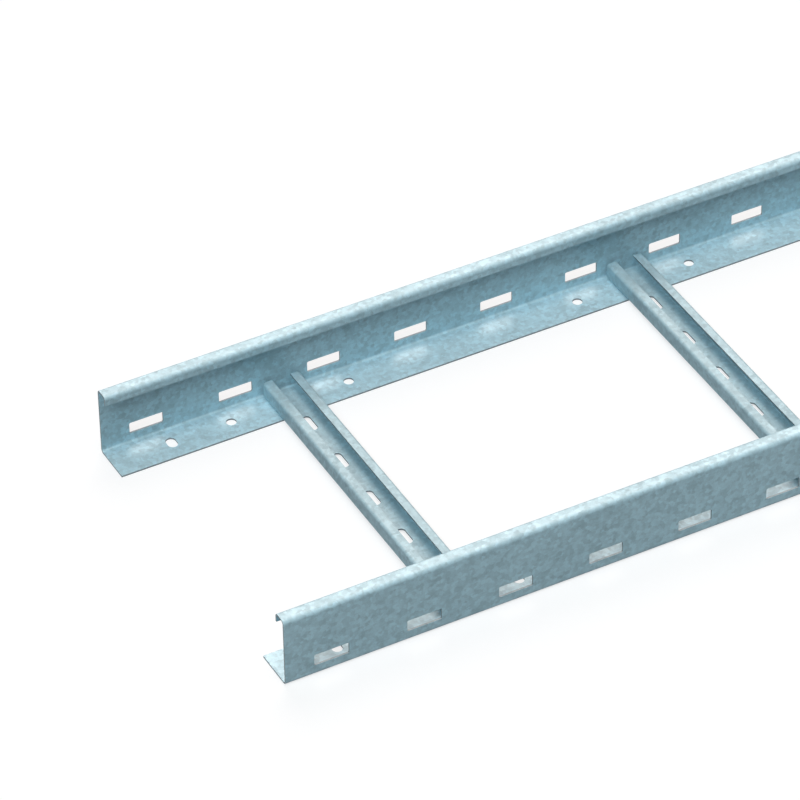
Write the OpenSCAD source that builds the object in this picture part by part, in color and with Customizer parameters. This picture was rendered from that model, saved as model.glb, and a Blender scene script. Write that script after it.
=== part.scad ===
// Cable ladder section, 3 m stock length, galvanised sheet steel.
// Two roll-formed side rails with slotted webs face each other. Ten C rungs, open side up,
// sit on the rails' inward bottom flanges and span from web to web.
// Millimetres. X runs along the rails, Y across the ladder and Z up from the floor.
// The origin is at the bottom centre.

/* [Ladder] */
// Width over the outer faces of the two rails
ladder_w = 300; // [200:10:900]
// Distance from one rung's centre to the next
rung_pitch = 300; // [200:10:450]
// Distance from a rail's end to the centre of its first rung
end_margin = 150; // [100:5:250]

/* [Side rail] */
// Height of the rail, which is the height of the ladder
rail_h = 60; // [45:1:150]
// Sheet thickness of the rail
rail_t = 1.5; // [1:0.1:2.5]
// Outer radius of the rail's bends
rail_r = 3.5; // [2:0.1:4.5]
// Width of the bottom flange, from the rail's outer face
flange_w = 35; // [28:1:60]
// Width of the top lip, from the rail's outer face
lip_w = 12.5; // [10:0.5:24]
// Depth of the lip's down-turned edge, from the rail's top
return_h = 8; // [6:0.5:16]

/* [Web slots] */
// Distance between the centres of the web slots
web_slot_pitch = 75; // [50:5:150]
// Distance from the rail's end to the centre of the first web slot
web_slot_first = 37.5; // [25:0.5:75]
// Length of a web slot, along the rail
web_slot_l = 28; // [14:0.5:40]
// Height of a web slot
web_slot_h = 9.5; // [7:0.5:14]
// Height of the web slots' centres above the rail's underside
web_slot_z = 14; // [11:0.5:30]
// Corner radius of a web slot
web_slot_r = 1; // [0.5:0.1:3]

/* [Flange holes] */
// Diameter of the round flange holes
flange_hole_d = 8; // [5:0.5:10]
// Distance of the flange holes' centres from the rail's outer face
flange_hole_in = 18; // [12:0.5:23]
// Distance of the two round holes beside a rung from the rung's centre
flange_hole_dx = 50; // [30:1:60]
// Width of the slot near each end of the flange, along the rail
end_slot_w = 8; // [6:0.5:10]
// Length of the slot near each end of the flange, across the rail
end_slot_l = 11.5; // [10.5:0.5:16]

/* [Rung] */
// Width of a rung
rung_w = 31; // [25:0.5:45]
// Height of a rung
rung_h = 14; // [11:0.5:30]
// Sheet thickness of a rung
rung_t = 1.5; // [1:0.1:2.5]
// Outer radius of the rung's bends
rung_r = 2.5; // [2:0.1:3.5]
// Width of the gap between a rung's two lips
rung_gap = 15.5; // [10:0.5:20]
// Clearance between a rung's end and the rail's bend
rung_fit = 0.5; // [0.2:0.1:2]

/* [Rung slots] */
// Distance between the centres of a rung's floor slots
rung_slot_pitch = 50; // [30:5:100]
// Length of a floor slot, along the rung
rung_slot_l = 18; // [10:0.5:26]
// Width of a floor slot
rung_slot_w = 7; // [5:0.5:12]

/* [Hidden] */
$fn = 48;
steel = [0.62, 0.68, 0.7];
rung_steel = [0.7, 0.75, 0.77];
// How far each cut runs past the sheet that it goes through
over = 1;
rung_count = 10;
ladder_l = (rung_count - 1) * rung_pitch + 2 * end_margin;
// Rungs reach to the start of the rails' bottom bends
rung_l = ladder_w - 2 * (rail_r + rung_fit);
web_slot_count = floor((ladder_l - 2 * web_slot_first) / web_slot_pitch) + 1;
// The flange's end slot is midway between the rail's end and the first round hole
end_slot_x = (end_margin - flange_hole_dx) / 2;
// Least material at a rung's end beyond its outermost slot
rung_slot_edge = 10;
rung_slot_side = max(0, floor((rung_l / 2 - rung_slot_l / 2 - rung_slot_edge) / rung_slot_pitch));

// Quarter ring of sheet that turns a corner, with its centre at the origin.
// The quarter lies towards +X and +Y before quarter_turns turns it anticlockwise.
module sheet_bend(r_out, thick, quarter_turns) {
  rotate(90 * quarter_turns)
    intersection() {
      difference() {
        circle(r = r_out);
        circle(r = r_out - thick);
      }
      square(r_out);
    }
}

// Section of a side rail: X is inward from the outer face and Y is up.
module rail_section() {
  // Bottom flange
  translate([rail_r, 0])
    square([flange_w - rail_r, rail_t]);
  translate([rail_r, rail_r])
    sheet_bend(rail_r, rail_t, 2);
  // Web
  translate([0, rail_r])
    square([rail_t, rail_h - 2 * rail_r]);
  translate([rail_r, rail_h - rail_r])
    sheet_bend(rail_r, rail_t, 1);
  // Top lip
  translate([rail_r, rail_h - rail_t])
    square([lip_w - 2 * rail_r, rail_t]);
  translate([lip_w - rail_r, rail_h - rail_r])
    sheet_bend(rail_r, rail_t, 0);
  // Down-turned edge of the lip
  translate([lip_w - rail_t, rail_h - return_h])
    square([rail_t, return_h - rail_r]);
}

// Outline of a slot with straight sides and rounded corners, centred on the origin.
module slot_outline(length, width, corner_r) {
  for (sx = [-1, 1])
    for (sy = [-1, 1])
      translate([sx * (length / 2 - corner_r), sy * (width / 2 - corner_r)])
        circle(r = corner_r);
  square([length - 2 * corner_r, width], center = true);
  square([length, width - 2 * corner_r], center = true);
}

// Outline of a slot with round ends, centred on the origin, its length along Y.
module round_slot_outline(length, width) {
  for (s = [-1, 1])
    translate([0, s * (length - width) / 2])
      circle(d = width);
  square([width, length - width], center = true);
}

// Centre of rung number i along the ladder.
function rung_x(i) = -ladder_l / 2 + end_margin + (i - 1) * rung_pitch;

// Slots through the web, in the rail's own place: outer face at Y = 0, inward is +Y.
module web_slots() {
  for (k = [0 : web_slot_count - 1])
    translate([-ladder_l / 2 + web_slot_first + k * web_slot_pitch, rail_t + over, web_slot_z])
      rotate([90, 0, 0])
        linear_extrude(height = rail_t + 2 * over)
          slot_outline(web_slot_l, web_slot_h, web_slot_r);
}

// Round holes through the bottom flange, one on each side of every rung.
module flange_holes() {
  for (i = [1 : rung_count])
    for (s = [-1, 1])
      translate([rung_x(i) + s * flange_hole_dx, flange_hole_in, -over])
        cylinder(d = flange_hole_d, h = rail_t + 2 * over);
}

// Slots across the bottom flange, one near each end of the rail.
module flange_end_slots() {
  for (s = [-1, 1])
    translate([s * (ladder_l / 2 - end_slot_x), flange_hole_in, -over])
      linear_extrude(height = rail_t + 2 * over)
        round_slot_outline(end_slot_l, end_slot_w);
}

// Side rail with its outer face at Y = 0 and its flange and lip towards +Y.
module rail() {
  difference() {
    rotate([90, 0, 90])
      translate([0, 0, -ladder_l / 2])
        linear_extrude(height = ladder_l)
          rail_section();
    web_slots();
    flange_holes();
    flange_end_slots();
  }
}

// Section of a rung: X is along the ladder, centred, and Y is up from its underside.
module rung_section() {
  // Floor
  translate([-rung_w / 2 + rung_r, 0])
    square([rung_w - 2 * rung_r, rung_t]);
  for (side = [0, 1])
    mirror([side, 0]) {
      translate([rung_w / 2 - rung_r, rung_r])
        sheet_bend(rung_r, rung_t, 3);
      // Side wall
      translate([rung_w / 2 - rung_t, rung_r])
        square([rung_t, rung_h - 2 * rung_r]);
      translate([rung_w / 2 - rung_r, rung_h - rung_r])
        sheet_bend(rung_r, rung_t, 0);
      // Inward lip
      translate([rung_gap / 2, rung_h - rung_t])
        square([(rung_w - rung_gap) / 2 - rung_r, rung_t]);
    }
}

// Rung number i, seated on the rails' bottom flanges.
module rung(i) {
  translate([rung_x(i), 0, rail_t])
    difference() {
      translate([0, rung_l / 2, 0])
        rotate([90, 0, 0])
          linear_extrude(height = rung_l)
            rung_section();
      for (k = [-rung_slot_side : rung_slot_side])
        translate([0, k * rung_slot_pitch, -over])
          linear_extrude(height = rung_t + 2 * over)
            round_slot_outline(rung_slot_l, rung_slot_w);
    }
}

// Rail on the -Y side, nearer in the usual view.
module rail_right() {
  color(steel)
    translate([0, -ladder_w / 2, 0])
      rail();
}

// Rail on the +Y side.
module rail_left() {
  color(steel)
    mirror([0, 1, 0])
      translate([0, -ladder_w / 2, 0])
        rail();
}

module rung_01() { color(rung_steel) rung(1); }
module rung_02() { color(rung_steel) rung(2); }
module rung_03() { color(rung_steel) rung(3); }
module rung_04() { color(rung_steel) rung(4); }
module rung_05() { color(rung_steel) rung(5); }
module rung_06() { color(rung_steel) rung(6); }
module rung_07() { color(rung_steel) rung(7); }
module rung_08() { color(rung_steel) rung(8); }
module rung_09() { color(rung_steel) rung(9); }
module rung_10() { color(rung_steel) rung(10); }

rail_left();
rail_right();
rung_01();
rung_02();
rung_03();
rung_04();
rung_05();
rung_06();
rung_07();
rung_08();
rung_09();
rung_10();
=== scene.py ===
import math

import bmesh
import bpy
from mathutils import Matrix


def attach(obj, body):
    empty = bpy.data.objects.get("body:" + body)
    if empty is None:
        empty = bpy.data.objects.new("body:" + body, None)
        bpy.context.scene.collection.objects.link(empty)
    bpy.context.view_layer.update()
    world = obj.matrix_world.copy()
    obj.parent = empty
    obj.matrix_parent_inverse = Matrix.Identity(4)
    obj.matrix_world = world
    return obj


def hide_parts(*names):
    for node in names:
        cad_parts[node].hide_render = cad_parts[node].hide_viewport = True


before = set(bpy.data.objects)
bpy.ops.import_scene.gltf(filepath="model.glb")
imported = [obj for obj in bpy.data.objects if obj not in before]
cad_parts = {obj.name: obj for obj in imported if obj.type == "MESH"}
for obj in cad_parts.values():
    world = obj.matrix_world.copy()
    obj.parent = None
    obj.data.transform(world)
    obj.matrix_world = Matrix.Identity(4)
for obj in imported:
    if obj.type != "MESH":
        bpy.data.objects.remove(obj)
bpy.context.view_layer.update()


# Camera
# A long lens looks down over the nearer rail at the ladder's end, so that both rails run out of
# the picture's right-hand side.
camera_data = bpy.data.cameras.new("camera")
camera_data.lens = 241.51
camera_data.sensor_width = 36.0
camera_data.clip_end = 400.0
camera = bpy.data.objects.new("camera", camera_data)
bpy.context.scene.collection.objects.link(camera)
camera.location = (-2.74116, -2.70155, 2.55085)
camera.rotation_euler = [math.radians(turn) for turn in (51.05236, 0.83560, -28.33046)]
bpy.context.scene.camera = camera
bpy.context.scene.view_settings.view_transform = "Standard"


# Studio floor
# A plain pale floor that runs out of sight on every side. It shows as white and still darkens
# softly where the ladder keeps the light off it.
bpy.ops.object.select_all(action="DESELECT")
bpy.ops.mesh.primitive_plane_add(size=90.0, location=(0.0, 0.0, 0.0))
floor = bpy.context.object
floor.name = "studio_floor"


def plain_shader(tree, kind, color, strength=None):
    shader = tree.nodes.new(kind)
    shader.inputs["Color"].default_value = (*color, 1.0)
    if strength is not None:
        shader.inputs["Strength"].default_value = strength
    return shader


def show_apart(tree, to_the_ladder, to_the_eye, output_kind):
    """Send one shader's light to the ladder, and show another to the camera, gloss and glass."""
    path = tree.nodes.new("ShaderNodeLightPath")
    seen = path.outputs["Is Camera Ray"]
    for ray in ("Is Glossy Ray", "Is Transmission Ray"):
        either = tree.nodes.new("ShaderNodeMath")
        either.operation = "MAXIMUM"
        tree.links.new(seen, either.inputs[0])
        tree.links.new(path.outputs[ray], either.inputs[1])
        seen = either.outputs[0]
    choice = tree.nodes.new("ShaderNodeMixShader")
    tree.links.new(seen, choice.inputs[0])
    tree.links.new(to_the_ladder.outputs[0], choice.inputs[1])
    tree.links.new(to_the_eye.outputs[0], choice.inputs[2])
    output = tree.nodes.new(output_kind)
    tree.links.new(choice.outputs[0], output.inputs["Surface"])


floor_look = bpy.data.materials.new("pale_studio_floor")
floor_look.use_nodes = True
floor_tree = floor_look.node_tree
floor_tree.nodes.clear()
paper = plain_shader(floor_tree, "ShaderNodeBsdfDiffuse", (0.088, 0.118, 0.130))
shade_catcher = plain_shader(floor_tree, "ShaderNodeBsdfDiffuse", (0.272, 0.302, 0.316))
glow = plain_shader(floor_tree, "ShaderNodeEmission", (1.0, 1.0, 1.0), strength=0.70)
white_floor = floor_tree.nodes.new("ShaderNodeAddShader")
floor_tree.links.new(shade_catcher.outputs[0], white_floor.inputs[0])
floor_tree.links.new(glow.outputs[0], white_floor.inputs[1])
show_apart(floor_tree, paper, white_floor, "ShaderNodeOutputMaterial")
floor.data.materials.append(floor_look)


# Studio light
# A cool softbox in front that lights the webs and shines in through their slots, a warmer one
# almost overhead, and another behind that brightens the lips. The room itself adds little.
for name, strength, color, spread, height, bearing in (
        ("front_softbox", 1.36, (0.87, 1.0, 1.05), 26.0, 50.0, -138.0),
        ("top_softbox", 1.34, (1.20, 0.99, 0.91), 30.0, 80.0, -90.0),
        ("back_softbox", 1.12, (1.25, 0.98, 0.87), 40.0, 50.0, 60.0)):
    lamp_data = bpy.data.lights.new(name, "SUN")
    lamp_data.energy = strength
    lamp_data.color = color
    lamp_data.angle = math.radians(spread)
    lamp = bpy.data.objects.new(name, lamp_data)
    bpy.context.scene.collection.objects.link(lamp)
    lamp.rotation_euler = (0.0, math.radians(90.0 - height), math.radians(bearing))

room = bpy.data.worlds.new("studio_room")
bpy.context.scene.world = room
room.use_nodes = True
room.node_tree.nodes.clear()
walls = plain_shader(room.node_tree, "ShaderNodeBackground", (0.80, 0.92, 1.0), strength=0.03)
white = plain_shader(room.node_tree, "ShaderNodeBackground", (1.0, 1.0, 1.0), strength=1.0)
show_apart(room.node_tree, walls, white, "ShaderNodeOutputWorld")


# Side rails
# Each rail is one strip of galvanised steel sheet, punched and then roll-formed into an upright
# web with a flange turned in at the bottom and a lip turned in and down at the top. The same rail
# serves both sides, turned end for end.

# Sizes in metres. The flange and the lip are measured from the rail's outer face.
length = 3.0
half_width = 0.150
rail_height = 0.060
flange = 0.035
lip = 0.0125
lip_return = 0.008
sheet = 0.0015
bend = 0.0035

# The places of the rungs, which the holes in the flange follow.
rung_count = 10
rung_pitch = 0.300
end_margin = 0.150
first_rung = -length / 2 + end_margin

web_slot_pitch = 0.075
web_slot_count = round(length / web_slot_pitch)
web_slot_length = 0.028
web_slot_width = 0.0095
web_slot_corner = 0.001
web_slot_from_base = 0.014
hole_width = 0.008
hole_from_face = 0.018
hole_from_rung = 0.050
end_slot_width = 0.008
end_slot_length = 0.0115
end_slot_from_end = (end_margin - hole_from_rung) / 2

# The zinc on all the sheet: the size of the patches in each of its patterns, how far the borders
# of its crystals waver, how much the broad clouds and the rollers' lines count, how much rougher
# a darker spot is, and how much each pattern stands up.
crystal_size = 0.0030
waver_size = 0.002
waver_reach = 0.0028
cloud_size = 0.007
broad_cloud_size = 0.11
grain_size = 0.0011
line_size = 0.0016
broad_cloud_share = 0.7
line_share = 0.8
dark_roughness = 0.5
crystal_relief = 0.35
grain_relief = 0.6
cloud_relief = 0.8

zinc = bpy.data.node_groups.new("zinc_coating", "ShaderNodeTree")
for name, kind, start in (("Zinc Color", "NodeSocketColor", (0.44, 0.63, 0.70, 1.0)),
                          ("Roughness", "NodeSocketFloat", 0.45),
                          ("Spangle", "NodeSocketFloat", 0.2),
                          ("Cloud", "NodeSocketFloat", 0.2),
                          ("Grain", "NodeSocketFloat", 0.1),
                          ("Rolling", "NodeSocketVector", (0.05, 1.0, 1.0))):
    socket = zinc.interface.new_socket(name, in_out="INPUT", socket_type=kind)
    socket.default_value = start
for name, kind in (("Color", "NodeSocketColor"), ("Roughness", "NodeSocketFloat"),
                   ("Height", "NodeSocketFloat")):
    zinc.interface.new_socket(name, in_out="OUTPUT", socket_type=kind)
given = zinc.nodes.new("NodeGroupInput").outputs
made = zinc.nodes.new("NodeGroupOutput").inputs
point = zinc.nodes.new("ShaderNodeTexCoord").outputs["Object"]


def zinc_math(operation, *values):
    step = zinc.nodes.new("ShaderNodeMath")
    step.operation = operation
    for socket, value in zip(step.inputs, values):
        if hasattr(value, "is_output"):
            zinc.links.new(value, socket)
        else:
            socket.default_value = value
    return step.outputs[0]


def centred(value):
    """Shift a pattern from 0 to 1 so that it runs to either side of 0."""
    return zinc_math("SUBTRACT", value, 0.5)


def noise(at, size, detail):
    texture = zinc.nodes.new("ShaderNodeTexNoise")
    texture.inputs["Scale"].default_value = 1.0 / size
    texture.inputs["Detail"].default_value = detail
    zinc.links.new(at, texture.inputs["Vector"])
    return texture.outputs


# Crystals of zinc: small cells with wavering borders, each a little lighter or darker.
wavered = zinc.nodes.new("ShaderNodeVectorMath")
wavered.operation = "MULTIPLY_ADD"
zinc.links.new(noise(point, waver_size, detail=2.0)["Color"], wavered.inputs[0])
wavered.inputs[1].default_value = (waver_reach, waver_reach, waver_reach)
zinc.links.new(point, wavered.inputs[2])
cells = zinc.nodes.new("ShaderNodeTexVoronoi")
cells.feature = "SMOOTH_F1"
cells.inputs["Smoothness"].default_value = 0.5
cells.inputs["Scale"].default_value = 1.0 / crystal_size
zinc.links.new(wavered.outputs[0], cells.inputs["Vector"])
split = zinc.nodes.new("ShaderNodeSeparateColor")
zinc.links.new(cells.outputs["Color"], split.inputs["Color"])
crystals = centred(split.outputs["Red"])

# Small and broad clouds where the coating is thicker or has been handled, fine grain, and faint
# lines that the rollers leave along the strip.
clouds = centred(noise(point, cloud_size, detail=4.0)[0])
broad_clouds = centred(noise(point, broad_cloud_size, detail=2.0)[0])
fine_grain = centred(noise(point, grain_size, detail=2.0)[0])
drawn = zinc.nodes.new("ShaderNodeVectorMath")
drawn.operation = "MULTIPLY"
zinc.links.new(point, drawn.inputs[0])
zinc.links.new(given["Rolling"], drawn.inputs[1])
lines = centred(noise(drawn.outputs[0], line_size, detail=3.0)[0])

total = zinc_math("MULTIPLY", crystals, given["Spangle"])
for pattern, amount in ((clouds, given["Cloud"]),
                        (broad_clouds, zinc_math("MULTIPLY", given["Cloud"], broad_cloud_share)),
                        (fine_grain, given["Grain"]),
                        (lines, zinc_math("MULTIPLY", given["Grain"], line_share))):
    total = zinc_math("ADD", total, zinc_math("MULTIPLY", pattern, amount))
tint = zinc.nodes.new("ShaderNodeVectorMath")
tint.operation = "SCALE"
zinc.links.new(given["Zinc Color"], tint.inputs[0])
zinc.links.new(zinc_math("ADD", total, 1.0), tint.inputs["Scale"])
zinc.links.new(tint.outputs[0], made["Color"])
roughness = zinc_math("MULTIPLY_ADD", total, -dark_roughness, given["Roughness"])
zinc.links.new(roughness, made["Roughness"])
relief = zinc_math("MULTIPLY", crystals, crystal_relief)
for pattern, amount in ((fine_grain, grain_relief), (clouds, cloud_relief)):
    relief = zinc_math("ADD", relief, zinc_math("MULTIPLY", pattern, amount))
zinc.links.new(relief, made["Height"])


def coated_steel(name, color, metallic, roughness, spangle, cloud, grain, rolling):
    """Galvanised sheet, whose zinc gives colour, gloss and a shallow relief.

    The rollers' lines run along the axis on which rolling is small.
    """
    look = bpy.data.materials.new(name)
    look.use_nodes = True
    tree = look.node_tree
    surface = tree.nodes["Principled BSDF"]
    surface.inputs["Metallic"].default_value = metallic
    surface.inputs["Specular IOR Level"].default_value = 0.6
    coating = tree.nodes.new("ShaderNodeGroup")
    coating.node_tree = zinc
    for socket_name, value in (("Zinc Color", (*color, 1.0)), ("Roughness", roughness),
                               ("Spangle", spangle), ("Cloud", cloud), ("Grain", grain),
                               ("Rolling", rolling)):
        coating.inputs[socket_name].default_value = value
    bump = tree.nodes.new("ShaderNodeBump")
    bump.inputs["Strength"].default_value = 0.5
    bump.inputs["Distance"].default_value = 0.00006
    tree.links.new(coating.outputs["Color"], surface.inputs["Base Color"])
    tree.links.new(coating.outputs["Roughness"], surface.inputs["Roughness"])
    tree.links.new(coating.outputs["Height"], bump.inputs["Height"])
    tree.links.new(bump.outputs["Normal"], surface.inputs["Normal"])
    return look


def cut_steel(name):
    """The sheet where it is cut: darker and duller, with hardly a crystal on it."""
    return coated_steel(name, color=(0.25, 0.31, 0.34), metallic=0.3, roughness=0.6,
                        spangle=0.05, cloud=0.30, grain=0.30, rolling=(1.0, 1.0, 1.0))


rail_steel = coated_steel("rail_galvanised_steel", color=(0.425, 0.640, 0.725), metallic=0.10,
                          roughness=0.45, spangle=0.30, cloud=0.30, grain=0.18,
                          rolling=(0.04, 1.0, 1.0))
rail_edge = cut_steel("rail_cut_edge")

fold_steps = 7
same_place = 1e-5
merge_distance = 1e-6


def near(a, b):
    return abs(a - b) < same_place


def size_and_open(piece, size):
    """Bring a new primitive to its size, and open it in edit mode with edges to be picked."""
    piece.scale = size
    bpy.ops.object.transform_apply(location=True, rotation=True, scale=True)
    bpy.ops.object.mode_set(mode="EDIT")
    bpy.ops.mesh.select_mode(type="EDGE")


def pick(axis, test=lambda at: True):
    """Select the edges that run along an axis and whose two ends pass the test."""
    across = [index for index in range(3) if index != "XYZ".index(axis)]
    shape = bmesh.from_edit_mesh(bpy.context.edit_object.data)
    for item in (*shape.faces, *shape.edges, *shape.verts):
        item.select = False
    for edge in shape.edges:
        start, end = [corner.co for corner in edge.verts]
        straight = all(near(start[index], end[index]) for index in across)
        if straight and test(start) and test(end):
            edge.select_set(True)
    bmesh.update_edit_mesh(bpy.context.edit_object.data)


def draw_out(x, y, z):
    """Draw a new flat out of the picked edge. Its far edge is then the picked one."""
    bpy.ops.mesh.extrude_region_move(TRANSFORM_OT_translate={"value": (x, y, z)})


def apply_modifiers(piece):
    bpy.context.view_layer.objects.active = piece
    for modifier in list(piece.modifiers):
        bpy.ops.object.modifier_apply(modifier=modifier.name)


def form_sheet(strip, radius, outward, steel, cut_edge):
    """Round the picked folds, turn the outer face out and give the sheet its thickness inwards."""
    bpy.ops.mesh.bevel(offset_type="OFFSET", offset=radius, segments=fold_steps, profile=0.5,
                       affect="EDGES", clamp_overlap=False)
    bpy.ops.mesh.select_all(action="SELECT")
    bpy.ops.mesh.remove_doubles(threshold=merge_distance)
    bpy.ops.mesh.normals_make_consistent(inside=False)
    bpy.ops.object.mode_set(mode="OBJECT")
    widest = max(strip.data.polygons, key=lambda face: face.area)
    if widest.normal.dot(outward) < 0.0:
        bpy.ops.object.mode_set(mode="EDIT")
        bpy.ops.mesh.flip_normals()
        bpy.ops.object.mode_set(mode="OBJECT")
    strip.data.materials.append(steel)
    strip.data.materials.append(cut_edge)
    wall = strip.modifiers.new("sheet", "SOLIDIFY")
    wall.thickness = sheet
    wall.offset = -1.0
    wall.use_even_offset = True
    wall.material_offset_rim = 1
    apply_modifiers(strip)


# The web, then the flange, the lip and its down-turned edge drawn out from it in turn.
bpy.ops.object.select_all(action="DESELECT")
bpy.ops.mesh.primitive_plane_add(size=1.0, location=(0.0, -half_width, rail_height / 2),
                                 rotation=(math.pi / 2, 0.0, 0.0))
rail_right = bpy.context.object
rail_right.name = "side_rail_right"
size_and_open(rail_right, (length, rail_height, 1.0))
pick("X", lambda at: near(at.z, 0.0))
draw_out(0.0, flange, 0.0)
pick("X", lambda at: near(at.z, rail_height))
draw_out(0.0, lip, 0.0)
draw_out(0.0, 0.0, -lip_return)
folds = ((-half_width, 0.0), (-half_width, rail_height), (lip - half_width, rail_height))
pick("X", lambda at: any(near(at.y, y) and near(at.z, z) for y, z in folds))
form_sheet(rail_right, bend, (0.0, -1.0, 0.0), rail_steel, rail_edge)

# The punches are longer than the sheet is thick, so that each goes right through it.
punch_depth = 0.010
corner_steps = 3
round_sides = 32


def round_punch(width, place, cut_edge, turn=0.0):
    bpy.ops.object.select_all(action="DESELECT")
    bpy.ops.mesh.primitive_cylinder_add(vertices=round_sides, radius=width / 2, depth=punch_depth,
                                        location=place, rotation=(0.0, 0.0, turn))
    tool = bpy.context.object
    bpy.ops.object.transform_apply(location=True, rotation=True, scale=True)
    tool.data.materials.append(cut_edge)
    return tool


def slot_punch(slot_width, slot_length, place, cut_edge):
    """A round punch whose two halves are drawn apart along Y, for a slot with round ends."""
    tool = round_punch(slot_width, place, cut_edge, turn=math.pi / round_sides)
    for side in (-1, 1):
        bpy.ops.object.mode_set(mode="EDIT")
        bpy.ops.mesh.select_mode(type="VERT")
        bpy.ops.mesh.select_all(action="DESELECT")
        shape = bmesh.from_edit_mesh(tool.data)
        for corner in shape.verts:
            if side * (corner.co.y - place[1]) > 0.0:
                corner.select_set(True)
        shape.select_flush(True)
        bmesh.update_edit_mesh(tool.data)
        bpy.ops.transform.translate(value=(0.0, side * (slot_length - slot_width) / 2, 0.0))
        bpy.ops.object.mode_set(mode="OBJECT")
    return tool


def repeat(tool, count, step):
    row = tool.modifiers.new("row", "ARRAY")
    row.count = count
    row.use_relative_offset = False
    row.use_constant_offset = True
    row.constant_offset_displace = step
    apply_modifiers(tool)


def punch(piece, tool):
    """Cut a closed tool shape out of the sheet. The walls of the cut take the tool's finish."""
    cut = piece.modifiers.new("punched", "BOOLEAN")
    cut.operation = "DIFFERENCE"
    cut.solver = "EXACT"
    cut.material_mode = "TRANSFER"
    cut.object = tool
    apply_modifiers(piece)
    bpy.data.objects.remove(tool, do_unlink=True)


# Square-ended slots along the web for the splice bolts.
bpy.ops.object.select_all(action="DESELECT")
bpy.ops.mesh.primitive_cube_add(size=1.0, location=(-length / 2 + web_slot_pitch / 2, -half_width,
                                                    web_slot_from_base))
square_punch = bpy.context.object
size_and_open(square_punch, (web_slot_length, punch_depth, web_slot_width))
pick("Y")
bpy.ops.mesh.bevel(offset_type="OFFSET", offset=web_slot_corner, segments=corner_steps, profile=0.5,
                   affect="EDGES")
bpy.ops.object.mode_set(mode="OBJECT")
square_punch.data.materials.append(rail_edge)
repeat(square_punch, web_slot_count, (web_slot_pitch, 0.0, 0.0))
punch(rail_right, square_punch)

# Round holes through the flange on both sides of every rung.
hole_line = -half_width + hole_from_face
hole_punch = round_punch(hole_width, (first_rung - hole_from_rung, hole_line, 0.0), rail_edge)
repeat(hole_punch, 2, (2 * hole_from_rung, 0.0, 0.0))
repeat(hole_punch, rung_count, (rung_pitch, 0.0, 0.0))
punch(rail_right, hole_punch)

# A slot across the flange near each end.
end_punch = slot_punch(end_slot_width, end_slot_length,
                       (-length / 2 + end_slot_from_end, hole_line, 0.0), rail_edge)
repeat(end_punch, 2, (length - 2 * end_slot_from_end, 0.0, 0.0))
punch(rail_right, end_punch)

# How far the cut edges are broken and in how many steps, from which angle in degrees an edge
# counts as cut, and how strongly the flats hold their own direction.
edge_ease = 0.00015
ease_steps = 2
sharp_angle = 50.0
flat_weight = 80


def ease_edges(piece):
    """Break the cut edges very slightly and let the flats keep their own direction."""
    eased = piece.modifiers.new("eased", "BEVEL")
    eased.width = edge_ease
    eased.segments = ease_steps
    eased.limit_method = "ANGLE"
    eased.angle_limit = math.radians(sharp_angle)
    bpy.ops.object.select_all(action="DESELECT")
    piece.select_set(True)
    apply_modifiers(piece)
    bpy.ops.object.shade_smooth()
    flats = piece.modifiers.new("flats", "WEIGHTED_NORMAL")
    flats.weight = flat_weight
    apply_modifiers(piece)


def copy_piece(piece, name):
    bpy.ops.object.select_all(action="DESELECT")
    piece.select_set(True)
    bpy.context.view_layer.objects.active = piece
    bpy.ops.object.duplicate(linked=False)
    twin = bpy.context.object
    twin.name = name
    return twin


ease_edges(rail_right)

# The other rail is the same one turned end for end.
rail_left = copy_piece(rail_right, "side_rail_left")
rail_left.rotation_euler.z = math.pi
bpy.ops.object.transform_apply(location=True, rotation=True, scale=True)
for rail, node in ((rail_right, "rail_right"), (rail_left, "rail_left")):
    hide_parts(node)
    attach(rail, "root")


# Rungs
# Ten open C sections of the same galvanised sheet, slotted along the floor for cable cleats and
# ties. Each one stands open side up on the two flanges and is welded there.
rung_width = 0.031
rung_height = 0.014
rung_gap = 0.0155
rung_bend = 0.0025

# A rung ends a small clearance short of the rails' bends.
rung_fit = 0.0005
rung_length = 2 * (half_width - bend - rung_fit)

rung_slot_width = 0.007
rung_slot_length = 0.018
rung_slot_pitch = 0.050
rung_slot_count = 5

# The rungs' zinc colour is the rails' colour made about a fifth darker. This is painted shade on
# the same sheet.
darkened_rung_zinc = coated_steel("painted_shade_rung_zinc", color=(0.350, 0.525, 0.592), metallic=0.10,
                          roughness=0.52, spangle=0.26, cloud=0.26, grain=0.18,
                          rolling=(1.0, 0.04, 1.0))
rung_edge = cut_steel("rung_cut_edge")

# The floor of the channel, then both sides and both lips drawn out from it.
bpy.ops.object.select_all(action="DESELECT")
bpy.ops.mesh.primitive_plane_add(size=1.0, location=(0.0, 0.0, sheet), rotation=(math.pi, 0.0, 0.0))
rung_pattern = bpy.context.object
size_and_open(rung_pattern, (rung_width, rung_length, 1.0))
for side in (-1, 1):
    pick("Y", lambda at: near(at.x, side * rung_width / 2) and near(at.z, sheet))
    draw_out(0.0, 0.0, rung_height)
    draw_out(-side * (rung_width - rung_gap) / 2, 0.0, 0.0)
pick("Y", lambda at: near(abs(at.x), rung_width / 2))
form_sheet(rung_pattern, rung_bend, (0.0, 0.0, -1.0), darkened_rung_zinc, rung_edge)

# Slots along the middle of the floor.
first_slot = -(rung_slot_count - 1) / 2 * rung_slot_pitch
floor_punch = slot_punch(rung_slot_width, rung_slot_length, (0.0, first_slot, sheet), rung_edge)
repeat(floor_punch, rung_slot_count, (0.0, rung_slot_pitch, 0.0))
punch(rung_pattern, floor_punch)
ease_edges(rung_pattern)

for number in range(1, rung_count + 1):
    rung = copy_piece(rung_pattern, f"steel_rung_{number:02d}")
    rung.location.x = first_rung + (number - 1) * rung_pitch
    bpy.ops.object.transform_apply(location=True, rotation=True, scale=True)
    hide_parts(f"rung_{number:02d}")
    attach(rung, "root")
bpy.data.objects.remove(rung_pattern, do_unlink=True)
